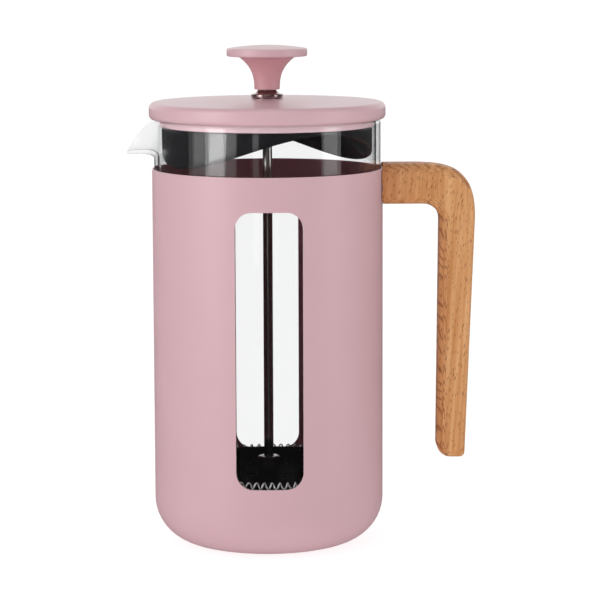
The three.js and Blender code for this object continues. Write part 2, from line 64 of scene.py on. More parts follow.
MM = 0.001
TURN = 2 * math.pi
MERGE_DISTANCE = 1e-7
CREASE_ANGLE = math.radians(35)  # sharper than this stays a crease in smooth shading

# ---- Sizes that the boxes of the CAD nodes don't give ----

SLEEVE_WALL = 0.6 * MM
SLEEVE_CORNER = 20 * MM
WINDOW_WIDTH = 29.4 * MM
WINDOW_BOTTOM = 32 * MM
WINDOW_TOP_MARGIN = 14.9 * MM
WINDOW_CORNER = 7.3 * MM
SHEET_EDGE_ROUND = 0.16 * MM

GLASS_WALL = 2.4 * MM
BEAKER_CORNER = 19 * MM
SPOUT_REACH = 12 * MM
SPOUT_DROP = 15.2 * MM
SPOUT_DEPTH = 16.5 * MM
SPOUT_THINNING = 0.4
SPOUT_CURL_POWER = 1.15
SPOUT_HALF_ANGLE = math.radians(18)

CAP_EDGE = 7.5 * MM
CAP_TOP_ROUND = 2.6 * MM
CAP_FOOT_ROUND = 2 * MM
CAP_SHELL = 2 * MM
STEP_DEPTH = 3.2 * MM
STEP_RADIUS = 47.2 * MM
STEP_ROUND = 0.7 * MM

SKIRT_RADIUS = 46.3 * MM
SKIRT_WALL = 2.4 * MM
SKIRT_WAVE = 7.5 * MM
SKIRT_LOBE_AZIMUTH = math.radians(32)
SKIRT_FLOOR = 2 * MM
SKIRT_PLUG = 4.7 * MM
SKIRT_PLUG_RADIUS = 44.9 * MM
SKIRT_BOSS_RADIUS = 9 * MM
NECK_HOLE = 5.3 * MM

BUSH_NECK_RADIUS = 5 * MM
BUSH_FLANGE_HEIGHT = 1.7 * MM
BUSH_BEVEL_HEIGHT = 1.6 * MM
BUSH_BEVEL_INSET = 1.4 * MM
BUSH_NOSE_WALL = 1.6 * MM
ROD_HOLE = 2.4 * MM

KNOB_STEM_RADIUS = 5.65 * MM
KNOB_DISC_HEIGHT = 3.9 * MM
KNOB_CROWN = 1.4 * MM
KNOB_FLARE_RADIUS = 12.3 * MM
KNOB_FLARE_POWER = 2.8
KNOB_UNDERSIDE_RISE = 0.4 * MM
KNOB_EDGE_ROUND = 0.6 * MM
KNOB_BORE_RADIUS = 3.8 * MM
KNOB_BORE_DEPTH = 10.5 * MM

COIL_WIRE_RADIUS = 0.36 * MM
COIL_PITCH = 3.4 * MM
PLATE_THICKNESS = 1 * MM
PLATE_RIM_WALL = 0.8 * MM
PLATE_HOLE_RADIUS = 2.6 * MM
PLATE_HOLE_ROWS = ((16 * MM, 6), (32 * MM, 12))
PLATE_EDGE_ROUND = 0.15 * MM
SCREEN_HEM = 1.1 * MM
CROSS_RING_WIDTH = 4.5 * MM
CROSS_SPOKES = 6
CROSS_SPOKE_WIDTH = 5 * MM
CROSS_HUB_RADIUS = 7 * MM
CROSS_HUB_LEDGE = 1.5 * MM
CROSS_CORNER = 2.5 * MM
CROSS_INNER_CORNER = 0.8 * MM

HANDLE_FOOT_BACK = 87.4 * MM
HANDLE_FOOT_FRONT = 75 * MM
GRIP_DEPTH = 15.6 * MM
ARM_HEIGHT = 17.8 * MM
SHOULDER_WIDTH = 28 * MM
SHOULDER_HEIGHT = 23.6 * MM
SHOULDER_BACK_SHARE = 0.1
SHOULDER_TOP_SHARE = 0.36
ARMPIT_ROUND = 7.4 * MM
HANDLE_EDGE = 5 * MM
HANDLE_FLAT_INSET = 0.35 * MM  # from a flat side's rounded edge in to an extra ring on it
HANDLE_SEAT_DEPTH = 2.1 * MM
HANDLE_SEAT_GAP = 0.45 * MM
FOOT_BACK_ROUND = 2.4 * MM
FOOT_FRONT_ROUND = 6 * MM
TOUCH_GAP = 0.3 * MM

SCREW_RADIUS = 1.7 * MM
SCREW_HEAD_RADIUS = 3.5 * MM
SCREW_SEAT_RADIUS = 4.3 * MM
SCREW_SEAT_DEPTH = 1.7 * MM
SCREW_SEAT_SUPPORT = 1.55 * MM  # an extra ring of the seat's cone, close to its floor
SCREW_HOLE_RADIUS = 2 * MM
SOCKET_RADIUS = 1.45 * MM
SOCKET_DEPTH = 1.3 * MM


# ---- Mesh helpers ----

def rounded(corners, closed=True, steps=6):
    """Points of an outline of (a, b, radius) corners, each rounded by its own radius."""
    points = []
    last = len(corners) - 1
    for i, (a, b, radius) in enumerate(corners):
        here = Vector((a, b))
        if radius == 0 or (not closed and i in (0, last)):
            points.append(here)
            continue
        to_before = (Vector(corners[i - 1][:2]) - here).normalized()
        to_after = (Vector(corners[(i + 1) % len(corners)][:2]) - here).normalized()
        half = to_before.angle(to_after) / 2
        centre = here + (to_before + to_after).normalized() * (radius / math.sin(half))
        start = here + to_before * (radius / math.tan(half)) - centre
        end = here + to_after * (radius / math.tan(half)) - centre
        first = math.atan2(start.y, start.x)
        swing = math.remainder(math.atan2(end.y, end.x) - first, TURN)
        angles = [first + swing * k / steps for k in range(steps + 1)]
        points += [centre + Vector((math.cos(t), math.sin(t))) * radius for t in angles]
    return points


def arc(centre_a, centre_b, radius, start, end, steps=8):
    """Points of an arc between two angles in degrees, both ends included."""
    angles = [math.radians(start + (end - start) * k / steps) for k in range(steps + 1)]
    return [Vector((centre_a + radius * math.cos(t), centre_b + radius * math.sin(t))) for t in angles]


def even(count):
    return [TURN * k / count for k in range(count)]


def polar(radius, angle):
    return Vector((radius * math.cos(angle), radius * math.sin(angle)))


def circle(radius, count):
    return [polar(radius, angle) for angle in even(count)]


def hexagon(radius, angle):
    """How far a hexagon with this corner radius reaches at an angle."""
    return radius * math.cos(math.pi / 6) / math.cos((angle % (math.pi / 3)) - math.pi / 6)


def in_scene(name, data):
    """A new object of the given mesh, curve, lamp or camera, linked to the scene."""
    made = bpy.data.objects.new(name, data)
    bpy.context.scene.collection.objects.link(made)
    return made


def make_object(name, bm, *materials):
    """A smooth-shaded object from a bmesh, with its sharp creases kept."""
    mesh = bpy.data.meshes.new(name)
    bm.to_mesh(mesh)
    bm.free()
    for material in materials:
        mesh.materials.append(material)
    mesh.shade_smooth()
    mesh.set_sharp_from_angle(angle=CREASE_ANGLE)
    return in_scene(name, mesh)


def sweep(profile_at, azimuths, closed=True):
    """A bmesh of a profile carried round Z. profile_at(azimuth) gives (radius, height) points."""
    bm = bmesh.new()
    columns = []
    for azimuth in azimuths:
        columns.append([bm.verts.new((*polar(r, azimuth), z)) for r, z in profile_at(azimuth)])
    rows = len(columns[0])
    for here, there in zip(columns, columns[1:] + columns[:1]):
        for row in range(rows if closed else rows - 1):
            above = (row + 1) % rows
            bm.faces.new((here[row], there[row], there[above], here[above]))
    bmesh.ops.remove_doubles(bm, verts=bm.verts, dist=MERGE_DISTANCE)
    bmesh.ops.recalc_face_normals(bm, faces=bm.faces)
    return bm


def turned(profile, count=128, closed=True):
    return sweep(lambda azimuth: profile, even(count), closed)


def lay_along_x(bm, y, z):
    """Turns what was built along Z to lie along X, at the given place."""
    place = Matrix.Translation((0, y, z)) @ Matrix.Rotation(math.pi / 2, 4, "Y")
    bmesh.ops.transform(bm, matrix=place, verts=bm.verts)
    return bm


def applied(piece):
    """Applies a piece's modifiers, or turns a curve into a mesh, and keeps its name."""
    graph = bpy.context.evaluated_depsgraph_get()
    mesh = bpy.data.meshes.new_from_object(piece.evaluated_get(graph))
    name = piece.name
    bpy.data.objects.remove(piece)
    return in_scene(name, mesh)


def from_curve(name, material, lines, **settings):
    """A mesh made from closed curves through lists of (x, y, z) points."""
    curve = bpy.data.curves.new(name, "CURVE")
    for setting, value in settings.items():
        setattr(curve, setting, value)
    for line in lines:
        spline = curve.splines.new("POLY")
        spline.points.add(len(line) - 1)
        for point, place in zip(spline.points, line):
            point.co = (*place, 1)
        spline.use_cyclic_u = True
    curve.materials.append(material)
    made = in_scene(name, curve)
    bpy.context.view_layer.update()
    made = applied(made)
    made.data.shade_smooth()
    return made


def flat_plate(name, outlines, bottom, top, material):
    """A flat sheet with openings, from closed outlines, with slightly rounded edges."""
    made = from_curve(
        name, material, [[(x, y, 0) for x, y in outline] for outline in outlines],
        dimensions="2D", fill_mode="BOTH", extrude=(top - bottom) / 2 - PLATE_EDGE_ROUND,
        bevel_depth=PLATE_EDGE_ROUND, bevel_resolution=2, offset=-PLATE_EDGE_ROUND)
    made.data.transform(Matrix.Translation((0, 0, (top + bottom) / 2)))
    made.data.set_sharp_from_angle(angle=CREASE_ANGLE)
    return made


def stand_for(piece, node, body):
    """The piece replaces a CAD node and rides on its body."""
    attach(piece, body)
    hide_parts(node)


# ---- Material helpers ----

class Nodes:
    """Short calls that add nodes to a node tree."""

    def __init__(self, tree):
        self.tree = tree

    def add(self, kind, inputs=None, **settings):
        node = self.tree.nodes.new("ShaderNode" + kind)
        for name, value in settings.items():
            setattr(node, name, value)
        for name, value in (inputs or {}).items():
            if isinstance(value, bpy.types.NodeSocket):
                self.tree.links.new(value, node.inputs[name])
            else:
                node.inputs[name].default_value = value
        return node

    def spread(self, value, low, high, start=0.0, end=1.0):
        """Maps a value between start and end to one between low and high."""
        values = {"Value": value, "From Min": start, "From Max": end, "To Min": low, "To Max": high}
        return self.add("MapRange", values).outputs["Result"]

    def math(self, operation, first, second):
        return self.add("Math", {0: first, 1: second}, operation=operation).outputs[0]

    def bounced(self, *kinds):
        """1 for light that has met such a surface on its way to the camera, and 0 otherwise."""
        path = self.add("LightPath")
        total = path.outputs[kinds[0] + " Depth"]
        for kind in kinds[1:]:
            total = self.math("ADD", total, path.outputs[kind + " Depth"])
        return self.spread(total, 0.0, 1.0)


class Finish(Nodes):
    """A material with one Principled shader."""

    def __init__(self, name, colour, roughness, metallic=0.0, **sockets):
        self.material = bpy.data.materials.new(name)
        self.material.use_nodes = True
        self.material.diffuse_color = (*colour, 1)
        super().__init__(self.material.node_tree)
        self.shader = self.tree.nodes["Principled BSDF"]
        self.shader.inputs["Base Color"].default_value = (*colour, 1)
        self.shader.inputs["Roughness"].default_value = roughness
        self.shader.inputs["Metallic"].default_value = metallic
        for socket, value in sockets.items():
            self.shader.inputs[socket.replace("_", " ")].default_value = value

    def place(self, scale=(1, 1, 1), rotation=(0, 0, 0)):
        """Object coordinates in metres, turned and then scaled."""
        coordinates = self.add("TexCoord").outputs["Object"]
        turned_first = self.add("Mapping", {"Vector": coordinates, "Rotation": rotation})
        return self.add("Mapping", {"Vector": turned_first.outputs[0], "Scale": scale}).outputs[0]

    def noise(self, vector, scale, detail=2.0, roughness=0.5):
        values = {"Vector": vector, "Scale": scale, "Detail": detail, "Roughness": roughness}
        return self.add("TexNoise", values).outputs["Fac"]

    def blend(self, share, first, second, kind="MIX"):
        """Mixes two colours, each a socket or a triple."""
        node = self.add("Mix", data_type="RGBA", blend_type=kind)
        sockets = (node.inputs[0], node.inputs[6], node.inputs[7])
        for socket, value in zip(sockets, (share, first, second)):
            if isinstance(value, bpy.types.NodeSocket):
                self.tree.links.new(value, socket)
            else:
                socket.default_value = value if isinstance(value, float) else (*value, 1)
        return node.outputs[2]

    def drive(self, socket, value):
        self.tree.links.new(value, self.shader.inputs[socket])

    def bump(self, height, distance, strength=1.0):
        values = {"Height": height, "Distance": distance, "Strength": strength}
        self.drive("Normal", self.add("Bump", values).outputs["Normal"])

    def mix_over(self, share, other):
        """Shows another shader instead of the Principled one, by a share."""
        mixed = self.add("MixShader", {0: share, 1: self.shader.outputs[0], 2: other.outputs[0]})
        self.tree.links.new(mixed.outputs[0], self.tree.nodes["Material Output"].inputs["Surface"])


def shade(colour, share):
    """A colour made darker or lighter by a share of itself."""
    return tuple(min(1.0, part * share) for part in colour)


def paint(name, colour, roughness, **sockets):
    """Powder coat: a fine orange peel, with a little unevenness in colour and gloss."""
    made = Finish(name, colour, roughness, **sockets)
    place = made.place()
    cloud = made.noise(place, 60, 3)
    peel = made.noise(place, 2600, 2)
    made.drive("Base Color", made.blend(cloud, shade(colour, 0.975), shade(colour, 1.025)))
    made.drive("Roughness", made.spread(cloud, roughness - 0.03, roughness + 0.03, 0.3, 0.7))
    made.bump(peel, 0.012 * MM, 0.5)
    return made.material


def metal(name, colour, roughness, grain=(1, 1, 1), metallic=1.0, **sockets):
    """Drawn or turned steel, with fine lines across the given stretch."""
    made = Finish(name, colour, roughness, metallic, **sockets)
    lines = made.noise(made.place(grain), 1500, 3, 0.6)
    made.drive("Base Color", made.blend(lines, shade(colour, 0.9), shade(colour, 1.08)))
    made.drive("Roughness", made.spread(lines, roughness * 0.75, roughness * 1.3, 0.25, 0.75))
    made.bump(lines, 0.004 * MM, 0.4)
    return made.material


def moulded(name, colour, roughness, **sockets):
    """Injection-moulded plastic or rubber with a faint grain."""
    made = Finish(name, colour, roughness, **sockets)
    place = made.place()
    grain = made.noise(place, 1800, 2)
    flow = made.noise(place, 90, 2)
    made.drive("Base Color", made.blend(flow, shade(colour, 0.85), shade(colour, 1.2)))
    made.drive("Roughness", made.spread(flow, roughness * 0.85, roughness * 1.15, 0.3, 0.7))
    made.bump(grain, 0.003 * MM, 0.3)
    return made.material


def woven_steel():
    """Fine wire mesh: two crossed sets of wires, with dark holes between them."""
    colour, hole = (0.55, 0.54, 0.53), (0.03, 0.03, 0.03)
    made = Finish("woven_steel", colour, 0.35, 1.0)
    wires = []
    for direction in ("X", "Y"):
        values = {"Vector": made.place(), "Scale": 620.0}
        bands = made.add("TexWave", values, wave_type="BANDS", bands_direction=direction)
        wires.append(bands.outputs["Fac"])
    weave = made.math("MAXIMUM", *wires)
    made.drive("Base Color", made.blend(made.spread(weave, 0.0, 1.0, 0.45, 0.8), hole, colour))
    made.bump(weave, 0.12 * MM, 0.8)
    return made.material


def clear_glass():
    """Borosilicate glass that lets light through, with painted shade where it is seen edge-on."""
    clear, edge_on_painted_shade = (0.995, 0.998, 1.0), (0.22, 0.24, 0.24)
    made = Finish("clear_glass", clear, 0.0, Transmission_Weight=1.0, IOR=1.01,
                  Coat_Weight=1.0, Coat_Roughness=0.0, Coat_IOR=1.5)
    # Painted shade: the colour darkens towards the silhouettes, drawing the glass's dark outlines, as this
    # glass hardly bends light.
    facing = made.add("LayerWeight", {"Blend": 0.5}).outputs["Facing"]
    made.drive("Base Color", made.blend(made.spread(facing, 0.0, 1.0, 0.8, 1.0), clear, edge_on_painted_shade))
    ripple = made.noise(made.place((1, 1, 0.35)), 55, 1)
    made.bump(ripple, 0.02 * MM, 0.15)
    through = made.add("BsdfTransparent", {"Color": (0.985, 0.99, 0.99, 1)})
    made.mix_over(made.add("LightPath").outputs["Is Shadow Ray"], through)
    return made.material


def beech_wood():
    """Oiled beech with upright grain: soft streaks, growth rings and short dark flecks, and painted shade
    with a painted pink reflection near the sleeve.
    """
    pale, warm = (0.76, 0.40, 0.172), (0.55, 0.222, 0.066)
    ring_tone, fleck_tone = (0.27, 0.08, 0.024), (0.16, 0.042, 0.012)
    sleeve_shade_tint = (0.82, 0.66, 0.58)
    made = Finish("beech_wood", pale, 0.5, Specular_IOR_Level=0.35)
    lean = (0, math.radians(-4), 0)
    streaks = made.noise(made.place((1, 1, 0.03), lean), 420, 4, 0.62)
    clouds = made.noise(made.place((1, 1, 0.3), lean), 70, 3)
    base = made.blend(made.spread(streaks, 0.0, 1.0, 0.34, 0.66), pale, warm)
    base = made.blend(made.spread(clouds, 0.0, 0.55, 0.5, 0.75), base, warm)

    place = made.add("SeparateXYZ", {0: made.place()})
    facing = made.add("SeparateXYZ", {0: made.add("TexCoord").outputs["Normal"]})
    flatness = made.math("ABSOLUTE", facing.outputs["Y"], 0.0)
    to_front = made.spread(facing.outputs["X"], 1.0, 0.0, -0.15, 0.0)
    to_top = made.spread(facing.outputs["Z"], 0.0, 0.8, 0.1, 0.3)
    cut = made.math("MAXIMUM", to_front, to_top)
    edge = made.math("MULTIPLY", made.spread(flatness, 1.0, 0.0, 0.9, 0.995), cut)
    bow = made.math("POWER", made.spread(flatness, -1.2, 1.2, 0.75, 1.0), 2.0)
    wobble = made.noise(made.place(), 38, 1)
    along = made.math("ADD", made.math("MULTIPLY", place.outputs["Z"], 160.0),
                      made.math("MULTIPLY", place.outputs["X"], 230.0))
    phase = made.math("ADD", made.math("ADD", along, bow), made.math("MULTIPLY", wobble, 5.0))
    ring = made.math("PINGPONG", phase, 0.5)
    cut_rings = made.math("MULTIPLY", made.spread(ring, 0.0, 0.75, 0.3, 0.48), edge)
    base = made.blend(cut_rings, base, ring_tone)

    slant = (math.radians(3), math.radians(-16), 0)
    flecks = None
    for size, keep in ((0.75, 0.45), (1.2, 0.42)):
        scale = [per_metre * size for per_metre in (1250, 700, 300)]
        cells = made.add("TexVoronoi", {"Vector": made.place(scale, slant), "Scale": 1.0,
                                        "Randomness": 0.95}, feature="F1")
        lens = made.spread(cells.outputs["Distance"], 1.0, 0.0, 0.14, 0.33)
        chosen = made.add("SeparateXYZ", {0: cells.outputs["Color"]}).outputs["X"]
        layer = made.math("MULTIPLY", lens, made.spread(chosen, 0.0, 1.0, keep, keep + 0.12))
        flecks = layer if flecks is None else made.math("MAXIMUM", flecks, layer)
    base = made.blend(made.math("MULTIPLY", flecks, 0.62), base, fleck_tone)
    # Painted shade and painted pink reflection: the wood is darkened and reddened close to the sleeve.
    near_sleeve_shade = made.spread(place.outputs["X"], 0.75, 0.0, 0.052, 0.068)
    base = made.blend(near_sleeve_shade, base, sleeve_shade_tint, "MULTIPLY")
    made.drive("Base Color", base)

    pores = made.noise(made.place((1, 1, 0.08), lean), 2600, 2)
    relief = made.math("SUBTRACT", pores, flecks)
    made.drive("Roughness", made.spread(streaks, 0.44, 0.6, 0.3, 0.7))
    made.bump(relief, 0.03 * MM, 0.35)
    return made.material


PINK = (0.615, 0.388, 0.422)
sleeve_paint = paint("sleeve_paint", PINK, 0.4)
lid_paint = paint("lid_paint", shade(PINK, 1.02), 0.4, Coat_Weight=1.0,
                  Coat_Roughness=0.4, Coat_IOR=1.2)
stem_paint = paint("stem_paint", (0.66, 0.345, 0.375), 0.4)
# Painted light: a lighter copy of the pink for the lid's step, which sits in the cap's shade.
step_painted_light = paint("step_painted_light", (0.84, 0.6, 0.64), 0.3)
# Painted highlight: a lighter copy of the pink for the sleeve's cut edges.
edge_painted_highlight = paint("edge_painted_highlight", (0.92, 0.68, 0.72), 0.35)
# Painted shade: a dark maroon copy of the pink for the inside of the sleeve.
inside_painted_shade = paint("inside_painted_shade", (0.30, 0.10, 0.12), 0.22)
black_plastic = moulded("black_plastic", (0.0065, 0.0065, 0.0075), 0.08, Specular_IOR_Level=1.0)
silicone = moulded("silicone", (0.30, 0.30, 0.30), 0.75)
steel = metal("steel", (0.62, 0.61, 0.60), 0.24)
rod_steel = metal("rod_steel", (0.60, 0.56, 0.54), 0.13, (1, 1, 0.05))
collar_steel = metal("collar_steel", (0.42, 0.31, 0.30), 0.18)
dark_steel = metal("dark_steel", (0.16, 0.115, 0.115), 0.2)
plate_steel = metal("plate_steel", (0.012, 0.008, 0.009), 0.4, Specular_Tint=(0.06, 0.05, 0.05, 1))
coil_steel = metal("coil_steel", (0.78, 0.77, 0.76), 0.2, metallic=0.55)
brass = metal("brass", (0.62, 0.43, 0.17), 0.35)
mesh_steel = woven_steel()
glass = clear_glass()
beech = beech_wood()


# ---- Sleeve and its pad ----

_, sleeve_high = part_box("sleeve")
SLEEVE_RADIUS = sleeve_high.y
SLEEVE_TOP = sleeve_high.z
WINDOW_TOP = SLEEVE_TOP - WINDOW_TOP_MARGIN
PATCH_MARGIN = 6 * MM


def on_sleeve(across, z, azimuth):
    """A point of the sleeve's outer wall, across metres to the left of the line at an azimuth."""
    return Vector((*polar(SLEEVE_RADIUS, azimuth + math.asin(across / SLEEVE_RADIUS)), z))


def nearest_on(outline_half, corner):
    """Gives a function from a point to the nearest one on a rounded rectangle about the origin."""
    core = (outline_half[0] - corner, outline_half[1] - corner)

    def nearest(across, up):
        inner = Vector((max(-core[0], min(core[0], across)), max(-core[1], min(core[1], up))))
        return inner + (Vector((across, up)) - inner).normalized() * corner

    return nearest


def patches():
    """Where the sleeve's wall is opened: azimuth, middle, outer half sizes, outline, inner rings."""
    window_half = (WINDOW_WIDTH / 2, (WINDOW_TOP - WINDOW_BOTTOM) / 2)
    window = {
        "middle": (0, (WINDOW_TOP + WINDOW_BOTTOM) / 2),
        "half": (window_half[0] + PATCH_MARGIN, window_half[1] + PATCH_MARGIN),
        "nearest": nearest_on(window_half, WINDOW_CORNER),
        "cone": [],
    }
    yield {**window, "azimuth": -math.pi / 2}
    yield {**window, "azimuth": math.pi / 2}
    cone = [(SLEEVE_RADIUS + SCREW_SEAT_SUPPORT, SCREW_SEAT_RADIUS - SCREW_SEAT_SUPPORT),
            (SLEEVE_RADIUS + SCREW_SEAT_DEPTH, SCREW_SEAT_RADIUS - SCREW_SEAT_DEPTH),
            (SLEEVE_RADIUS + SCREW_SEAT_DEPTH, SCREW_HOLE_RADIUS)]
    for name in ("handle_screw_front", "handle_screw_rear"):
        low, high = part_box(name)
        y, z = (low.y + high.y) / 2, (low.z + high.z) / 2
        yield {"middle": (y, z), "half": (abs(y), abs(y)), "cone": cone, "azimuth": 0,
               "nearest": nearest_on((SCREW_SEAT_RADIUS, SCREW_SEAT_RADIUS), SCREW_SEAT_RADIUS)}


def lines_between(stops, spacing):
    """Grid lines through every stop, evenly spaced between them."""
    lines = []
    for start, end in zip(stops, stops[1:]):
        count = max(1, round((end - start) / spacing))
        lines += [start + (end - start) * k / count for k in range(count)]
    return lines + [stops[-1]]


def close_ring(bm, ring_a, ring_b):
    """A band of faces between two rings with as many points."""
    for k, vert in enumerate(ring_a):
        after = (k + 1) % len(ring_a)
        bm.faces.new((vert, ring_a[after], ring_b[after], ring_b[k]))


def patch_rings(bm, patch, border, steps=4):
    """Fills from a patch's border in to its outline, and on into a screw's seat."""
    centre_across, centre_z = patch["middle"]
    local = []
    for vert in border:
        angle = math.atan2(vert.co.y, vert.co.x) - patch["azimuth"]
        across = SLEEVE_RADIUS * math.sin(angle)
        local.append(Vector((across - centre_across, vert.co.z - centre_z)))
    inner = [patch["nearest"](*place) for place in local]
    last = border
    for step in range(1, steps + 1):
        ring = []
        for outside, inside in zip(local, inner):
            across, up = outside.lerp(inside, step / steps)
            place = on_sleeve(across + centre_across, up + centre_z, patch["azimuth"])
            ring.append(bm.verts.new(place))
        close_ring(bm, last, ring)
        last = ring
    for x, radius in patch["cone"]:
        ring = []
        for inside in inner:
            across, up = inside.normalized() * radius
            ring.append(bm.verts.new((x, across + centre_across, up + centre_z)))
        close_ring(bm, last, ring)
        last = ring


def sleeve_surface():
    """The sleeve's outer surface: a round bowl, and a wall with its windows and screw seats."""
    spots = list(patches())
    azimuth_stops = {0.0, TURN}
    height_stops = {SLEEVE_CORNER, SLEEVE_TOP}
    for spot in spots:
        for side in (-1, 1):
            across = spot["middle"][0] + side * spot["half"][0]
            angle = (spot["azimuth"] + math.asin(across / SLEEVE_RADIUS)) % TURN
            azimuth_stops.add(round(angle, 6))
            height_stops.add(round(spot["middle"][1] + side * spot["half"][1], 6))
    azimuths = lines_between(sorted(azimuth_stops), math.radians(2))[:-1]
    heights = lines_between(sorted(height_stops), 1.9 * MM)
    bm = bmesh.new()
    foot = SLEEVE_RADIUS - SLEEVE_CORNER
    bowl = [Vector((0, 0)), Vector((foot / 2, 0))]
    bowl += arc(foot, SLEEVE_CORNER, SLEEVE_CORNER, -90, 0, 14)[:-1]
    grid = []
    for azimuth in azimuths:
        wall = [(SLEEVE_RADIUS, z) for z in heights]
        grid.append([bm.verts.new((*polar(r, azimuth), z)) for r, z in [*bowl, *wall]])
    first_wall_row = len(bowl)

    def index_of(lines, value):
        return min(range(len(lines)), key=lambda k: abs(lines[k] - value))

    filled = set()
    for spot in spots:
        across, z = spot["middle"]
        ends = [(spot["azimuth"] + math.asin((across + side * spot["half"][0]) / SLEEVE_RADIUS)) % TURN
                for side in (-1, 1)]
        first, last = (index_of(azimuths + [TURN], end) for end in ends)
        first %= len(azimuths)
        low, high = (first_wall_row + index_of(heights, z + side * spot["half"][1]) for side in (-1, 1))
        columns = list(range(first, last + 1)) if first < last else list(range(first, len(azimuths))) + [0]
        filled |= {(c, r) for c in columns[:-1] for r in range(low, high)}
        border = [grid[c][low] for c in columns] + [grid[columns[-1]][r] for r in range(low + 1, high)]
        border += [grid[c][high] for c in reversed(columns)]
        border += [grid[columns[0]][r] for r in range(high - 1, low, -1)]
        patch_rings(bm, spot, border)
    for c in range(len(azimuths)):
        here, there = grid[c], grid[(c + 1) % len(azimuths)]
        for r in range(len(here) - 1):
            if (c, r) not in filled:
                bm.faces.new((here[r], there[r], there[r + 1], here[r + 1]))
    bmesh.ops.remove_doubles(bm, verts=bm.verts, dist=MERGE_DISTANCE)
    loose = [v for v in bm.verts if not v.link_faces]
    bmesh.ops.delete(bm, geom=loose, context="VERTS")
    return bm


def make_sleeve():
    sleeve = make_object("steel_sleeve", sleeve_surface(), sleeve_paint, inside_painted_shade, edge_painted_highlight)
    sheet = sleeve.modifiers.new("sheet", "SOLIDIFY")
    sheet.thickness = SLEEVE_WALL
    sheet.offset = -1
    sheet.use_even_offset = True
    # The inner shell takes the painted shade.
    sheet.material_offset = 1
    # The rims take the painted highlight.
    sheet.material_offset_rim = 2
    edge = sleeve.modifiers.new("edge", "BEVEL")
    edge.width = SHEET_EDGE_ROUND
    edge.segments = 2
    edge.limit_method = "ANGLE"
    edge.angle_limit = math.radians(50)
    shading = sleeve.modifiers.new("shading", "WEIGHTED_NORMAL")
    shading.keep_sharp = False
    stand_for(sleeve, "sleeve", "sleeve_body")


make_sleeve()


# ---- Beaker ----

beaker_low, beaker_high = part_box("glass_beaker")
BEAKER_RADIUS = beaker_high.y
BEAKER_BOTTOM = beaker_low.z
RIM_HEIGHT = beaker_high.z


def lip_point(share, beak):
    """The glass wall's outside from where the beak starts, at share 0, up to the lip, at 1."""
    curl = share ** SPOUT_CURL_POWER
    radius = BEAKER_RADIUS + SPOUT_REACH * beak * curl
    droop = SPOUT_DROP * beak * beak * curl
    return Vector((radius, RIM_HEIGHT - SPOUT_DEPTH + SPOUT_DEPTH * share - droop))


def lip_direction(share, beak):
    nearby = 0.01
    return (lip_point(min(share + nearby, 1), beak) - lip_point(max(share - nearby, 0), beak)).normalized()


def beaker_profile(azimuth):
    offset = abs(azimuth - math.pi) / SPOUT_HALF_ANGLE
    beak = math.cos(offset * math.pi / 2) ** 2 if offset < 1 else 0.0
    steps, sample = 20, 0.1
    length = (lip_point(1, beak) - lip_point(1 - sample, beak)).length / sample
    rim_wall = GLASS_WALL * (1 - SPOUT_THINNING * beak)
    last = 1 - rim_wall / 2 / length
    outside, inside = [], []
    for k in range(steps + 1):
        share = last * k / steps
        along = lip_direction(share, beak)
        wall = GLASS_WALL * (1 - SPOUT_THINNING * beak * share)
        here = lip_point(share, beak)
        outside.append(here)
        inside.insert(0, here + wall * Vector((-along.y, along.x)))
    centre = (outside[-1] + inside[0]) / 2
    to_outside = outside[-1] - centre
    along = lip_direction(1, beak) * to_outside.length
    turns = [math.pi * k / 8 for k in range(1, 8)]
    rim = [centre + to_outside * math.cos(t) + along * math.sin(t) for t in turns]
    foot = BEAKER_RADIUS - BEAKER_CORNER
    corner = BEAKER_BOTTOM + BEAKER_CORNER
    return (
        [Vector((0, BEAKER_BOTTOM))]
        + arc(foot, corner, BEAKER_CORNER, -90, 0, 14)
        + outside + rim + inside
        + arc(foot, corner, BEAKER_CORNER - GLASS_WALL, 0, -90, 14)
        + [Vector((0, BEAKER_BOTTOM + GLASS_WALL))]
    )


def make_beaker():
    """The glass, with closer columns round its beak."""
    near, far = math.radians(0.75), math.radians(2.25)
    wide = SPOUT_HALF_ANGLE + math.radians(6)
    azimuths = lines_between([0, math.pi - wide], far)[:-1]
    azimuths += lines_between([math.pi - wide, math.pi + wide], near)[:-1]
    azimuths += lines_between([math.pi + wide, TURN], far)[:-1]
    beaker = make_object("beaker_glass", sweep(beaker_profile, azimuths, closed=False), glass)
    beaker.data.set_sharp_from_angle(angle=math.radians(80))
    stand_for(beaker, "glass_beaker", "beaker")


make_beaker()


# ---- Lid ----

cap_low, cap_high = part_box("lid_cap")
CAP_RADIUS = cap_high.y
CAP_TOP = cap_high.z
STEP_FOOT = cap_low.z
CAP_FOOT = STEP_FOOT + STEP_DEPTH
CAP_EDGE_TOP = CAP_FOOT + CAP_EDGE
CAP_CEILING = CAP_EDGE_TOP - CAP_SHELL
skirt_low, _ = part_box("lid_skirt")
SKIRT_TOP = STEP_FOOT - TOUCH_GAP
SKIRT_MEAN_EDGE = skirt_low.z + SKIRT_WAVE


def crowned(radius, edge_height, top, inner=0.0, steps=16):
    """A domed top as (radius, height) points, from its edge in to the middle."""
    places = [radius + (inner - radius) * k / steps for k in range(steps + 1)]
    return [Vector((r, top - (top - edge_height) * (r / radius) ** 2)) for r in places]


